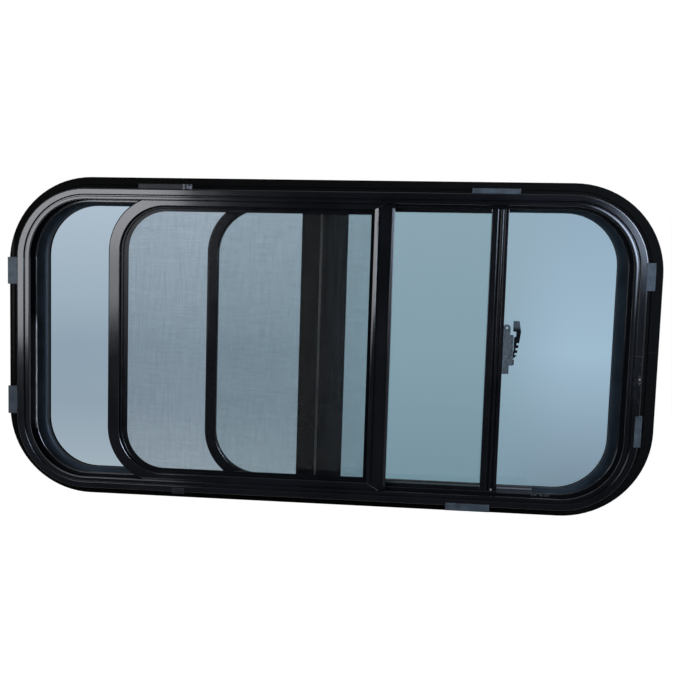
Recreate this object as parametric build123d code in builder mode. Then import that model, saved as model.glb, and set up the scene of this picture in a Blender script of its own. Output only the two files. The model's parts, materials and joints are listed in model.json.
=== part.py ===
import os

from build123d import *

# Caravan window seen from indoors: X to the right, Z up, the room on the -Y side.
# Y = 0 is the face of the outside flange that seats on the wall's outer skin.

# Outside flange
WIDTH = 900.0
HEIGHT = 450.0
CORNER_R = 120.0
FLANGE_T = 3.0
RIM_BEVEL = 1.4
SEAT_JAMB = 14.0
SEAT_RAIL = 10.5
SEAT_STEP = 1.0

# How far each edge of the frame lies inside the flange's rim, at the jambs and at the rails
BODY_JAMB = 29.0
BODY_RAIL = 18.2
WALL = 3.0
RIDGE_IN_JAMB = 39.2
RIDGE_IN_RAIL = 26.8
RIDGE_OUT_JAMB = 41.5
RIDGE_OUT_RAIL = 28.6
FRONT_JAMB = 47.0
FRONT_RAIL = 33.0
RIB_JAMB = 51.5
RIB_RAIL = 36.5
LIP_JAMB = 60.3
LIP_RAIL = 40.0

# Depths into the room, from the seat face
GLASS_T = 5.0
LIP_DEPTH = 14.0
LIP_BEVEL = 2.5
SASH_BACK = 17.0
SASH_T = 12.0
RIB_BACK = 32.0
RIB_T = 3.0
RIB_BEVEL = 0.8
SCREEN_BACK = 38.0
SCREEN_T = 8.0
WEB_BACK = 49.0
WEB_T = 2.0
RIDGE_H = 3.0
RIDGE_ROUND = 1.5
RIDGE_BEVEL = 0.7

# Fixed post between the halves: a wide wing on the left of its step, the glazed side on the right
POST_LEFT = -30.8
POST_STEP = -5.3
POST_RIGHT = 31.8
POST_WING_DEPTH = 11.5
POST_BEVEL = 1.5
PILE_W = 3.0
PILE_H = 2.4

# Sliding glass sash: where its left edge stands when shut, and how far it has been slid open
SASH_SHUT_JAMB = 52.0
SASH_OPEN = 239.5
SASH_SHORT = 27.3
SASH_TOP_GAP = 6.0
SASH_FOOT = 8.0
SASH_R = 75.0
SASH_EDGE = 15.3
SASH_BEVEL = 1.6
SASH_STILE = 22.0
STILE_FLAT = 8.0
STILE_GROOVE_W = 4.1
STILE_RIB = 2.9
STILE_SLOT_W = 2.5
STILE_GROOVE_DEEP = 2.2
GLASS_BITE = 8.0

# Sliding fly screen, placed in the same way
SCREEN_SHUT_JAMB = 50.0
SCREEN_OPEN = 107.0
SCREEN_SHORT = 43.8
SCREEN_TOP_GAP = 3.5
SCREEN_FOOT = 5.5
SCREEN_R = 78.0
SCREEN_EDGE = 16.4
SCREEN_RAIL_TOP = 16.3
SCREEN_RAIL_BOTTOM = 15.5
SCREEN_BEVEL = 1.2
SCREEN_STILE = 26.7
MESH_T = 1.0
MESH_BACK = 40.0

# Cord that holds the mesh: a flat seat with a bead near the frame and a ledge at its free edge,
# as wide at the screen's left end, its rails and its right stile
CORD_LEFT = 11.0
CORD_RAIL = 6.6
CORD_RIGHT = 4.2
CORD_SEAT_T = 1.0
BEAD_FROM = 0.1
BEAD_TO = 0.4
BEAD_T = 2.2
BEAD_BEVEL = 0.6
LEDGE_FROM = 0.62
LEDGE_T = 1.0

# Finger pulls along the screen's right stile, each sloping away from the channel between them
PULL_LEFT_W = 5.4
PULL_RIGHT_W = 4.2
PULL_H = 2.5
PULL_SLOPE = 1.3
PULL_CHANNEL = 2.5
PULL_CLEAR = 6.0
PULL_ROUND = 0.6

# Nylon feet that ride on the bottom track
GLIDE_L = 20.0
GLIDE_GAP = 0.3
GLIDE_BEVEL = 1.5
GLIDE_FROM_BEND = 17.0
GLIDE_FROM_STILE = 30.0

# Latch on the side of the sash's meeting stile: a folded housing that is open to the right, with an eye
# above it and a toe below
LATCH_Z = 1.0
LATCH_BACK = 20.0
LATCH_T = 9.0
LATCH_PLATE = 3.0
LATCH_FOLD = 2.5
LATCH_W = 13.5
LATCH_UP = 21.5
LATCH_DOWN = 19.0
LATCH_TOE_W = 8.8
LATCH_TOE = 11.5
LATCH_RIM = 2.2
LATCH_POCKET = 0.6
EYE_R = 4.5
EYE_HOLE_R = 1.8
EYE_UP = 31.0

# Thumb lever in the housing: a boss on the pin, an arm with teeth beside the housing, and the thumb tab
PIVOT_IN = 8.0
PIVOT_DOWN = 11.0
PIN_R = 1.8
PIN_PLAY = 0.2
BOSS_R = 4.0
LEVER_GAP = 0.5
LEVER_T = 3.5
ARM_GAP = 0.8
ARM_FOOT_W = 4.1
ARM_FOOT_DOWN = 5.9
ARM_HEAD_W = 7.2
ARM_HEAD_UP = 14.0
ARM_SHOULDER_UP = 18.4
ARM_SHOULDER_H = 1.5
NECK_W = 6.0
THUMB_W = 10.3
THUMB_LEAN = 2.6
THUMB_UP = 26.4
THUMB_H = 14.0
TEETH = 3
TOOTH_UP = 9.6
TOOTH_PITCH = 6.6
TOOTH_H = 3.0
TOOTH_DEEP = 3.0
HOOK_W = 7.3
HOOK_DOWN = 18.4

# Grey packing tabs round the body, and the buffer clipped on the lower rib
TAB_BACK = 49.0
TAB_T = 2.2
TAB_LAP_T = 1.2
TAB_BEVEL = 0.5
TAB_LEG = 12.0
TAB_LEG_T = 2.0
BUFFER_JAMB = 159.8
BUFFER_L = 46.0
BUFFER_UP = 8.9
BUFFER_GRIP = 2.0
BUFFER_T = 1.0
BUFFER_BEVEL = 2.0
BUFFER_SLOT_UP = 0.9
BUFFER_SLOT_H = 3.0
BUFFER_SLOT_DEEP = 1.5

BODY_IN_JAMB = BODY_JAMB + WALL
BODY_IN_RAIL = BODY_RAIL + WALL
PANE_FRONT = GLASS_T - SEAT_STEP
TRACK_FLOOR = -HEIGHT / 2 + BODY_IN_RAIL
TRACK_ROOF = HEIGHT / 2 - BODY_IN_RAIL
LIP_Z = HEIGHT / 2 - LIP_RAIL
FRONT_Z = HEIGHT / 2 - FRONT_RAIL
RIB_EDGE = -HEIGHT / 2 + RIB_RAIL
RIDGE_FRONT = WEB_BACK + WEB_T + RIDGE_H

SASH_LEFT = -WIDTH / 2 + SASH_SHUT_JAMB + SASH_OPEN
SASH_RIGHT = POST_RIGHT - SASH_SHORT + SASH_OPEN
SASH_TOP = TRACK_ROOF - SASH_TOP_GAP
SASH_BOTTOM = TRACK_FLOOR + SASH_FOOT
STILE_LEFT = SASH_RIGHT - SASH_STILE
PANE_LEFT = SASH_LEFT + SASH_EDGE - GLASS_BITE
PANE_RIGHT = STILE_LEFT + GLASS_BITE
PANE_LOW = SASH_BOTTOM + SASH_EDGE - GLASS_BITE
PANE_HIGH = SASH_TOP - SASH_EDGE + GLASS_BITE
PANE_R = SASH_R - SASH_EDGE + GLASS_BITE
PANE_BACK = SASH_BACK + (SASH_T - GLASS_T) / 2

SCREEN_LEFT = -WIDTH / 2 + SCREEN_SHUT_JAMB + SCREEN_OPEN
SCREEN_RIGHT = POST_RIGHT - SCREEN_SHORT + SCREEN_OPEN
SCREEN_TOP = TRACK_ROOF - SCREEN_TOP_GAP
SCREEN_BOTTOM = TRACK_FLOOR + SCREEN_FOOT
MESH_LEFT = SCREEN_LEFT + SCREEN_EDGE
MESH_RIGHT = SCREEN_RIGHT - SCREEN_STILE
MESH_LOW = SCREEN_BOTTOM + SCREEN_RAIL_BOTTOM
MESH_HIGH = SCREEN_TOP - SCREEN_RAIL_TOP
MESH_R = SCREEN_R - SCREEN_EDGE

PIVOT_X = SASH_RIGHT + PIVOT_IN
PIVOT_Z = LATCH_Z - PIVOT_DOWN
LEVER_SLOT_BACK = LATCH_BACK + LATCH_PLATE
LEVER_SLOT_T = LEVER_T + 2 * LEVER_GAP

os.makedirs("parts", exist_ok=True)


def layer(depth):
    """The sketch plane this far into the room: its x is X, its y is Z, and it extrudes to the room."""
    return Plane(origin=(0, -depth, 0), x_dir=(1, 0, 0), z_dir=(0, -1, 0))


def inset_outline(jamb, rail, mode=Mode.ADD):
    """A rounded outline this far inside the flange's rim."""
    RectangleRounded(WIDTH - 2 * jamb, HEIGHT - 2 * rail, CORNER_R - (jamb + rail) / 2, mode=mode)


def inset_ring(jamb, rail, inner_jamb, inner_rail):
    inset_outline(jamb, rail)
    inset_outline(inner_jamb, inner_rail, Mode.SUBTRACT)


def bow_outline(left, right, low, high, radius, mode=Mode.ADD):
    """A sash outline: rounded corners at its left end, square at its right."""
    with BuildLine() as path:
        Line((left + radius, low), (right, low))
        Line((right, low), (right, high))
        Line((right, high), (left + radius, high))
        RadiusArc((left + radius, high), (left, high - radius), -radius)
        Line((left, high - radius), (left, low + radius))
        RadiusArc((left, low + radius), (left + radius, low), -radius)
    make_face(path.edges(), mode=mode)


def slab(left, right, low, high, mode=Mode.ADD):
    with Locations(((left + right) / 2, (low + high) / 2)):
        Rectangle(right - left, high - low, mode=mode)


def mitred_stile():
    """The screen's right stile from the room: long at its free edge, cut at 45 degrees or so to the rails."""
    with BuildLine() as path:
        Polyline(
            (MESH_RIGHT, MESH_LOW), (SCREEN_RIGHT, SCREEN_BOTTOM),
            (SCREEN_RIGHT, SCREEN_TOP), (MESH_RIGHT, MESH_HIGH), close=True,
        )
    return path.edges()


def room_edges(part, right):
    """The edges of a bow's face to the room, apart from those where it meets its right stile."""
    return part.faces().sort_by(Axis.Y)[0].edges().filter_by(lambda edge: edge.center().X < right - 1)


with BuildPart() as outer_flange:
    with BuildSketch(layer(-FLANGE_T)):
        inset_ring(0, 0, LIP_JAMB, LIP_RAIL)
    extrude(amount=FLANGE_T)
    chamfer(outer_flange.faces().sort_by(Axis.Y)[-1].outer_wire().edges(), RIM_BEVEL)
    with BuildSketch(layer(-SEAT_STEP)):
        inset_ring(SEAT_JAMB, SEAT_RAIL, LIP_JAMB, LIP_RAIL)
    extrude(amount=SEAT_STEP, mode=Mode.SUBTRACT)
outer_flange.part.label = "outer_flange"
export_step(outer_flange.part, "parts/outer_flange.step")

with BuildPart() as body_wall:
    with BuildSketch(layer(-SEAT_STEP)):
        inset_ring(BODY_JAMB, BODY_RAIL, BODY_IN_JAMB, BODY_IN_RAIL)
    extrude(amount=SEAT_STEP + WEB_BACK)
body_wall.part.label = "body_wall"
export_step(body_wall.part, "parts/body_wall.step")

with BuildPart() as front_ring:
    with BuildSketch(layer(WEB_BACK)):
        inset_ring(BODY_JAMB, BODY_RAIL, FRONT_JAMB, FRONT_RAIL)
    extrude(amount=WEB_T)
    with BuildSketch(layer(WEB_BACK + WEB_T)):
        inset_ring(BODY_JAMB, BODY_RAIL, RIDGE_IN_JAMB, RIDGE_IN_RAIL)
        inset_ring(RIDGE_OUT_JAMB, RIDGE_OUT_RAIL, FRONT_JAMB, FRONT_RAIL)
    extrude(amount=RIDGE_H)
    inner_ridge, outer_ridge = front_ring.faces().group_by(Axis.Y)[0].sort_by(SortBy.AREA)
    chamfer(outer_ridge.inner_wires().edges() + inner_ridge.outer_wire().edges(), RIDGE_BEVEL)
    inner_ridge, outer_ridge = front_ring.faces().group_by(Axis.Y)[0].sort_by(SortBy.AREA)
    fillet(outer_ridge.outer_wire().edges() + inner_ridge.inner_wires().edges(), RIDGE_ROUND)
front_ring.part.label = "front_ring"
export_step(front_ring.part, "parts/front_ring.step")

with BuildPart() as track_rib:
    with BuildSketch(layer(RIB_BACK)):
        inset_ring(BODY_IN_JAMB, BODY_IN_RAIL, RIB_JAMB, RIB_RAIL)
    extrude(amount=RIB_T)
    chamfer(track_rib.faces().sort_by(Axis.Y)[0].inner_wires().edges(), RIB_BEVEL)
track_rib.part.label = "track_rib"
export_step(track_rib.part, "parts/track_rib.step")

with BuildPart() as glazing_lip:
    with BuildSketch(layer(PANE_FRONT)):
        inset_ring(BODY_IN_JAMB, BODY_IN_RAIL, LIP_JAMB, LIP_RAIL)
    extrude(amount=LIP_DEPTH - PANE_FRONT)
    chamfer(glazing_lip.faces().sort_by(Axis.Y)[0].inner_wires().edges(), LIP_BEVEL)
glazing_lip.part.label = "glazing_lip"
export_step(glazing_lip.part, "parts/glazing_lip.step")

with BuildPart() as fixed_glass:
    with BuildSketch(layer(-SEAT_STEP)):
        inset_outline(LIP_JAMB - GLASS_BITE, LIP_RAIL - GLASS_BITE)
        slab(POST_STEP, WIDTH, -HEIGHT, HEIGHT, Mode.INTERSECT)
    extrude(amount=GLASS_T)
fixed_glass.part.label = "fixed_glass"
export_step(fixed_glass.part, "parts/fixed_glass.step")

with BuildPart() as centre_post:
    with BuildSketch(Plane.XY.offset(-LIP_Z)):
        with BuildLine():
            Polyline(
                (POST_LEFT, FLANGE_T), (POST_STEP, FLANGE_T), (POST_STEP, -PANE_FRONT),
                (POST_RIGHT, -PANE_FRONT), (POST_RIGHT, POST_BEVEL - LIP_DEPTH),
                (POST_RIGHT - POST_BEVEL, -LIP_DEPTH), (POST_STEP, -LIP_DEPTH), (POST_STEP, -POST_WING_DEPTH),
                (POST_LEFT + POST_BEVEL, -POST_WING_DEPTH),
                (POST_LEFT, POST_BEVEL - POST_WING_DEPTH), close=True,
            )
        make_face()
    extrude(amount=2 * LIP_Z)
centre_post.part.label = "centre_post"
export_step(centre_post.part, "parts/centre_post.step")

with BuildPart() as pile_strip:
    with BuildSketch(layer(LIP_DEPTH)):
        slab(POST_STEP, POST_STEP + PILE_W, -LIP_Z, LIP_Z)
    extrude(amount=PILE_H)
pile_strip.part.label = "pile_strip"
export_step(pile_strip.part, "parts/pile_strip.step")

with BuildPart() as rib_buffer:
    buffer_right = WIDTH / 2 - BUFFER_JAMB
    buffer_left = buffer_right - BUFFER_L
    with BuildSketch(layer(RIB_BACK - BUFFER_T)):
        slab(buffer_left, buffer_right, RIB_EDGE - BUFFER_GRIP, RIB_EDGE + BUFFER_UP)
    extrude(amount=RIB_T + 2 * BUFFER_T)
    chamfer(rib_buffer.faces().sort_by(Axis.Z)[-1].edges().filter_by(Axis.Y), BUFFER_BEVEL)
    with BuildSketch(layer(RIB_BACK)):
        slab(buffer_left, buffer_right, RIB_EDGE - BUFFER_GRIP, RIB_EDGE)
    extrude(amount=RIB_T, mode=Mode.SUBTRACT)
    slot_low = RIB_EDGE + BUFFER_SLOT_UP
    with BuildSketch(layer(RIB_BACK + RIB_T + BUFFER_T - BUFFER_SLOT_DEEP)):
        slab(buffer_left, buffer_right, slot_low, slot_low + BUFFER_SLOT_H)
    extrude(amount=BUFFER_SLOT_DEEP, mode=Mode.SUBTRACT)
rib_buffer.part.label = "rib_buffer"
export_step(rib_buffer.part, "parts/rib_buffer.step")

# Each packing tab: the direction of its side of the body, which end of that side it is near, how far
# its middle lies from the rim at that end, its length, how far it stands out from the body and how far
# it laps over the front ridge
LEFT, RIGHT, TOP, BOTTOM = (-1, 0), (1, 0), (0, 1), (0, -1)
TABS = {
    "tab_left_upper": (LEFT, 1, 132.0, 37.0, 14.0, 0.0),
    "tab_left_lower": (LEFT, -1, 138.0, 39.0, 14.0, 0.0),
    "tab_right_upper": (RIGHT, 1, 121.0, 36.0, 9.0, 2.6),
    "tab_right_lower": (RIGHT, -1, 128.0, 41.0, 3.3, 5.7),
    "tab_top_left": (TOP, -1, 236.0, 74.0, 7.0, 0.0),
    "tab_top_right": (TOP, 1, 225.0, 62.0, 7.0, 0.0),
    "tab_bottom_left": (BOTTOM, -1, 259.6, 17.0, 2.5, 6.0),
    "tab_bottom_right": (BOTTOM, 1, 244.8, 58.0, 6.8, 3.5),
}


def tab_ring(place, out, over):
    """A tab's stretch of the ring from this far outside the body's face to this far inside it."""
    side, end, from_end, length = place
    inset_ring(BODY_JAMB - out, BODY_RAIL - out, BODY_JAMB + over, BODY_RAIL + over)
    if side[0]:
        with Locations((side[0] * WIDTH / 2, end * (HEIGHT / 2 - from_end))):
            Rectangle(WIDTH, length, mode=Mode.INTERSECT)
    else:
        with Locations((end * (WIDTH / 2 - from_end), side[1] * HEIGHT / 2)):
            Rectangle(length, HEIGHT, mode=Mode.INTERSECT)


for tab_name, (*tab_place, tab_out, tab_over) in TABS.items():
    with BuildPart() as tab:
        with BuildSketch(layer(TAB_BACK)):
            tab_ring(tab_place, tab_out, 0)
        extrude(amount=RIDGE_FRONT + TAB_LAP_T - TAB_BACK if tab_over else TAB_T)
        if tab_over:
            with BuildSketch(layer(RIDGE_FRONT)):
                tab_ring(tab_place, tab_out, tab_over)
            extrude(amount=TAB_LAP_T)
        chamfer(tab.faces().sort_by(Axis.Y)[0].edges(), TAB_BEVEL)
        with BuildSketch(layer(TAB_BACK - TAB_LEG)):
            tab_ring(tab_place, TAB_LEG_T, 0)
        extrude(amount=TAB_LEG)
    tab.part.label = tab_name
    export_step(tab.part, f"parts/{tab_name}.step")

with BuildPart() as sash_bow:
    with BuildSketch(layer(SASH_BACK)):
        bow_outline(SASH_LEFT, STILE_LEFT, SASH_BOTTOM, SASH_TOP, SASH_R)
        bow_outline(
            SASH_LEFT + SASH_EDGE, SASH_RIGHT, SASH_BOTTOM + SASH_EDGE, SASH_TOP - SASH_EDGE,
            SASH_R - SASH_EDGE, Mode.SUBTRACT,
        )
    extrude(amount=SASH_T)
    chamfer(room_edges(sash_bow, STILE_LEFT), SASH_BEVEL)
    with BuildSketch(layer(PANE_BACK)):
        bow_outline(PANE_LEFT, PANE_RIGHT, PANE_LOW, PANE_HIGH, PANE_R)
    extrude(amount=GLASS_T, mode=Mode.SUBTRACT)
sash_bow.part.label = "sash_bow"
export_step(sash_bow.part, "parts/sash_bow.step")

with BuildPart() as sash_stile:
    groove_floor = -SASH_BACK - SASH_T + STILE_GROOVE_DEEP
    groove_left = STILE_LEFT + STILE_FLAT
    slot_left = groove_left + STILE_GROOVE_W + STILE_RIB
    with BuildSketch(Plane.XY.offset(SASH_BOTTOM)):
        with Locations((STILE_LEFT + SASH_STILE / 2, -SASH_BACK - SASH_T / 2)):
            Rectangle(SASH_STILE, SASH_T)
        for left, width in ((groove_left, STILE_GROOVE_W), (slot_left, STILE_SLOT_W)):
            with Locations((left, groove_floor)):
                Rectangle(width, 2 * STILE_GROOVE_DEEP, align=(Align.MIN, Align.MAX), mode=Mode.SUBTRACT)
        with Locations((STILE_LEFT, -PANE_BACK)):
            Rectangle(GLASS_BITE, GLASS_T, align=(Align.MIN, Align.MAX), mode=Mode.SUBTRACT)
    extrude(amount=SASH_TOP - SASH_BOTTOM)
sash_stile.part.label = "sash_stile"
export_step(sash_stile.part, "parts/sash_stile.step")

with BuildPart() as sash_glass:
    with BuildSketch(layer(PANE_BACK)):
        bow_outline(PANE_LEFT, PANE_RIGHT, PANE_LOW, PANE_HIGH, PANE_R)
    extrude(amount=GLASS_T)
sash_glass.part.label = "sash_glass"
export_step(sash_glass.part, "parts/sash_glass.step")

with BuildPart() as sash_glides:
    with BuildSketch(layer(SASH_BACK + SASH_T / 4)):
        for at in (SASH_LEFT + SASH_R + GLIDE_FROM_BEND, STILE_LEFT - GLIDE_FROM_STILE):
            slab(at - GLIDE_L / 2, at + GLIDE_L / 2, TRACK_FLOOR + GLIDE_GAP, SASH_BOTTOM)
    extrude(amount=SASH_T / 2)
    chamfer(sash_glides.faces().group_by(Axis.Z)[0].edges().filter_by(Axis.Y), GLIDE_BEVEL)
sash_glides.part.label = "sash_glides"
export_step(sash_glides.part, "parts/sash_glides.step")

with BuildPart() as latch_base:
    latch_left, latch_right = SASH_RIGHT, SASH_RIGHT + LATCH_W
    latch_low, latch_high = LATCH_Z - LATCH_DOWN, LATCH_Z + LATCH_UP
    eye = (SASH_RIGHT + EYE_R, LATCH_Z + EYE_UP)
    with BuildSketch(layer(LATCH_BACK)):
        slab(latch_left, latch_right, latch_low, latch_high)
        slab(latch_left, latch_left + LATCH_TOE_W, latch_low - LATCH_TOE, latch_low)
        slab(latch_left, latch_left + 2 * EYE_R, latch_high, LATCH_Z + EYE_UP)
        with Locations(eye):
            Circle(EYE_R)
            Circle(EYE_HOLE_R, mode=Mode.SUBTRACT)
        with Locations((PIVOT_X, PIVOT_Z)):
            Circle(PIN_R, mode=Mode.SUBTRACT)
    extrude(amount=LATCH_T)
    with BuildSketch(layer(LATCH_BACK + LATCH_T - LATCH_POCKET)):
        slab(
            latch_left + LATCH_RIM, latch_right - LATCH_RIM,
            PIVOT_Z + BOSS_R, latch_high - LATCH_RIM,
        )
    extrude(amount=LATCH_POCKET, mode=Mode.SUBTRACT)
    with BuildSketch(layer(LEVER_SLOT_BACK)):
        slab(latch_left + LATCH_FOLD, latch_right, latch_low, LATCH_Z + EYE_UP + EYE_R)
    extrude(amount=LEVER_SLOT_T, mode=Mode.SUBTRACT)
latch_base.part.label = "latch_base"
export_step(latch_base.part, "parts/latch_base.step")

with BuildPart() as latch_pin:
    with BuildSketch(layer(LATCH_BACK)):
        with Locations((PIVOT_X, PIVOT_Z)):
            Circle(PIN_R)
    extrude(amount=LATCH_T)
latch_pin.part.label = "latch_pin"
export_step(latch_pin.part, "parts/latch_pin.step")

# The lever's arm stands just outside the housing, and its notches leave teeth down its outer edge
arm_left = SASH_RIGHT + LATCH_W + ARM_GAP
thumb_left = SASH_RIGHT + LATCH_W - ARM_GAP
thumb_right = thumb_left + THUMB_W
with BuildPart() as latch_lever:
    with BuildSketch(layer(LEVER_SLOT_BACK + LEVER_GAP)):
        with BuildLine():
            Polyline(
                (PIVOT_X, PIVOT_Z - BOSS_R), (arm_left + ARM_FOOT_W, LATCH_Z - ARM_FOOT_DOWN),
                (arm_left + ARM_HEAD_W, LATCH_Z + ARM_HEAD_UP), (thumb_right, LATCH_Z + THUMB_UP),
                (thumb_right - THUMB_LEAN, LATCH_Z + THUMB_UP + THUMB_H), (thumb_left, LATCH_Z + THUMB_UP + THUMB_H),
                (thumb_left, LATCH_Z + THUMB_UP), (thumb_right - NECK_W, LATCH_Z + THUMB_UP),
                (thumb_right - NECK_W, LATCH_Z + ARM_SHOULDER_UP + ARM_SHOULDER_H),
                (arm_left, LATCH_Z + ARM_SHOULDER_UP), (arm_left, LATCH_Z), (PIVOT_X, PIVOT_Z + BOSS_R), close=True,
            )
        make_face()
        slab(PIVOT_X, PIVOT_X + HOOK_W, LATCH_Z - HOOK_DOWN, PIVOT_Z)
        for tooth in range(TEETH):
            notch_z = LATCH_Z + TOOTH_UP - tooth * TOOTH_PITCH
            share = (notch_z - LATCH_Z + ARM_FOOT_DOWN) / (ARM_HEAD_UP + ARM_FOOT_DOWN)
            outer = arm_left + ARM_FOOT_W + share * (ARM_HEAD_W - ARM_FOOT_W)
            with Locations((outer, notch_z)):
                Rectangle(2 * TOOTH_DEEP, TOOTH_H, mode=Mode.SUBTRACT)
        with Locations((PIVOT_X, PIVOT_Z)):
            Circle(BOSS_R)
            Circle(PIN_R + PIN_PLAY, mode=Mode.SUBTRACT)
    extrude(amount=LEVER_T)
latch_lever.part.label = "latch_lever"
export_step(latch_lever.part, "parts/latch_lever.step")

with BuildPart() as screen_bow:
    with BuildSketch(layer(SCREEN_BACK)):
        bow_outline(SCREEN_LEFT, SCREEN_RIGHT, SCREEN_BOTTOM, SCREEN_TOP, SCREEN_R)
        bow_outline(MESH_LEFT, MESH_RIGHT, MESH_LOW, MESH_HIGH, MESH_R, Mode.SUBTRACT)
        make_face(mitred_stile(), mode=Mode.SUBTRACT)
    extrude(amount=SCREEN_T)
    chamfer(room_edges(screen_bow, MESH_RIGHT), SCREEN_BEVEL)
screen_bow.part.label = "screen_bow"
export_step(screen_bow.part, "parts/screen_bow.step")

with BuildPart() as screen_stile:
    stile_front = SCREEN_BACK + SCREEN_T
    pull_high = FRONT_Z - PULL_CLEAR
    with BuildSketch(Plane.XY.offset(SCREEN_BOTTOM)):
        with BuildLine():
            Polyline(
                (MESH_RIGHT, -SCREEN_BACK), (SCREEN_RIGHT, -SCREEN_BACK),
                (SCREEN_RIGHT, PULL_SLOPE - stile_front - PULL_H),
                (SCREEN_RIGHT - PULL_RIGHT_W, -stile_front - PULL_H),
                (SCREEN_RIGHT - PULL_RIGHT_W, PULL_CHANNEL - stile_front),
                (MESH_RIGHT + PULL_LEFT_W, PULL_CHANNEL - stile_front),
                (MESH_RIGHT + PULL_LEFT_W, -stile_front - PULL_H),
                (MESH_RIGHT, PULL_SLOPE - stile_front - PULL_H), close=True,
            )
        make_face()
    extrude(amount=SCREEN_TOP - SCREEN_BOTTOM)
    fillet(screen_stile.faces().group_by(Axis.Y)[0].edges().filter_by(Axis.Z), PULL_ROUND)
    with BuildSketch(layer(SCREEN_BACK)):
        make_face(mitred_stile())
    extrude(amount=SCREEN_T + PULL_H, mode=Mode.INTERSECT)
    with BuildSketch(layer(stile_front)):
        slab(MESH_RIGHT, SCREEN_RIGHT, pull_high, SCREEN_TOP)
        slab(MESH_RIGHT, SCREEN_RIGHT, SCREEN_BOTTOM, -pull_high)
    extrude(amount=PULL_H, mode=Mode.SUBTRACT)
screen_stile.part.label = "screen_stile"
export_step(screen_stile.part, "parts/screen_stile.step")

with BuildPart() as screen_mesh:
    with BuildSketch(layer(MESH_BACK)):
        bow_outline(MESH_LEFT, MESH_RIGHT, MESH_LOW, MESH_HIGH, MESH_R)
    extrude(amount=MESH_T)
screen_mesh.part.label = "screen_mesh"
export_step(screen_mesh.part, "parts/screen_mesh.step")


def cord_ring(start, stop):
    """The stretch of the cord's width between two shares of it, counted from the frame."""
    for share, mode in ((start, Mode.ADD), (stop, Mode.SUBTRACT)):
        bow_outline(
            MESH_LEFT + share * CORD_LEFT, MESH_RIGHT - share * CORD_RIGHT, MESH_LOW + share * CORD_RAIL,
            MESH_HIGH - share * CORD_RAIL, MESH_R - share * (CORD_LEFT + CORD_RAIL) / 2, mode,
        )


with BuildPart() as screen_spline:
    with BuildSketch(layer(MESH_BACK + MESH_T)):
        cord_ring(0, 1)
    extrude(amount=CORD_SEAT_T)
    with BuildSketch(layer(MESH_BACK + MESH_T + CORD_SEAT_T)):
        cord_ring(LEDGE_FROM, 1)
    extrude(amount=LEDGE_T)
    with BuildSketch(layer(MESH_BACK + MESH_T + CORD_SEAT_T)):
        cord_ring(BEAD_FROM, BEAD_TO)
    extrude(amount=BEAD_T)
    chamfer(screen_spline.faces().sort_by(Axis.Y)[0].edges(), BEAD_BEVEL)
screen_spline.part.label = "screen_spline"
export_step(screen_spline.part, "parts/screen_spline.step")

with BuildPart() as screen_glides:
    with BuildSketch(layer(SCREEN_BACK + SCREEN_T / 4)):
        for at in (SCREEN_LEFT + SCREEN_R + GLIDE_FROM_BEND, MESH_RIGHT - GLIDE_FROM_STILE):
            slab(at - GLIDE_L / 2, at + GLIDE_L / 2, TRACK_FLOOR + GLIDE_GAP, SCREEN_BOTTOM)
    extrude(amount=SCREEN_T / 2)
    chamfer(screen_glides.faces().group_by(Axis.Z)[0].edges().filter_by(Axis.Y), GLIDE_BEVEL)
screen_glides.part.label = "screen_glides"
export_step(screen_glides.part, "parts/screen_glides.step")
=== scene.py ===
"""Looks of a sliding caravan window: its finishes, insect mesh, weather pile and the studio around it."""
import json
import math
import random

import bmesh
import bpy
from mathutils import Matrix, Vector


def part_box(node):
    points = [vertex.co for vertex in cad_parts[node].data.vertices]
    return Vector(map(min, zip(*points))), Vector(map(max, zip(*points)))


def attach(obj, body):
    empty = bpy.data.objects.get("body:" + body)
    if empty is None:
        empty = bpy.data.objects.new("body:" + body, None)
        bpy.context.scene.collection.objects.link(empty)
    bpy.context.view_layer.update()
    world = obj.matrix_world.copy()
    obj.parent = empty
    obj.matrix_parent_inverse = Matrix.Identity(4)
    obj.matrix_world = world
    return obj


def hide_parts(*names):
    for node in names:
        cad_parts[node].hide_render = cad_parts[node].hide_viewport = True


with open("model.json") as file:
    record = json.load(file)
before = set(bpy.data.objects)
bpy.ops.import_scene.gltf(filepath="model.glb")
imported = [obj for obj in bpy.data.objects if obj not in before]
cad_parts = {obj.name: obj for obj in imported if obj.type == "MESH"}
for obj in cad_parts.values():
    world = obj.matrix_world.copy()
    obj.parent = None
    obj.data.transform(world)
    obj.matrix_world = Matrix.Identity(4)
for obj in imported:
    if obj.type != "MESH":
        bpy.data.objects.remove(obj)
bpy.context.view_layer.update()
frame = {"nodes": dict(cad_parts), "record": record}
nodes = frame["nodes"]

MM = 0.001

# Viewpoint: places in millimetres from the middle of the window's seat face, the roll in degrees, and the lens
# and its sensor in millimetres
CAMERA_AT = (128.3, -1630.3, 121.8)
CAMERA_AIM = (-98.3, 0.0, -84.6)
CAMERA_ROLL = 1.237
CAMERA_LENS = 63.02
CAMERA_SENSOR = 36.0
# The photograph is a piece cut from a wider picture, up and to the right of the lens's axis
CAMERA_SHIFT = (0.1276, 0.0978)

# Insect mesh, in millimetres. The pitch is a guess, the width is set by the mesh's shade, and the depth by the
# share of the sheet's area that its strands have to keep
STRAND_PITCH = 1.25
STRAND_W = 0.13
STRAND_DEEP = 0.32
# Each side of a strand moves by up to this share of half its width, at the cuts along it
STRAND_UNEVEN = 0.8
STRAND_CUTS = 20
STRAND_SEED = 5
MESH_CORNER = 61.6

# Weather pile: spacing and radius of its tufts in millimetres, and shares of that radius at foot and tip
TUFT_PITCH = 0.9
TUFT_R = 0.55
TUFT_TAPER = (0.9, 0.5)
TUFT_SIDES = 5
TUFT_ROWS = 3
# Every other row starts this share of the pitch further up
TUFT_STAGGER = 0.25
# The backing's share of the strip's depth
PILE_BACKING = 0.25

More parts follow.
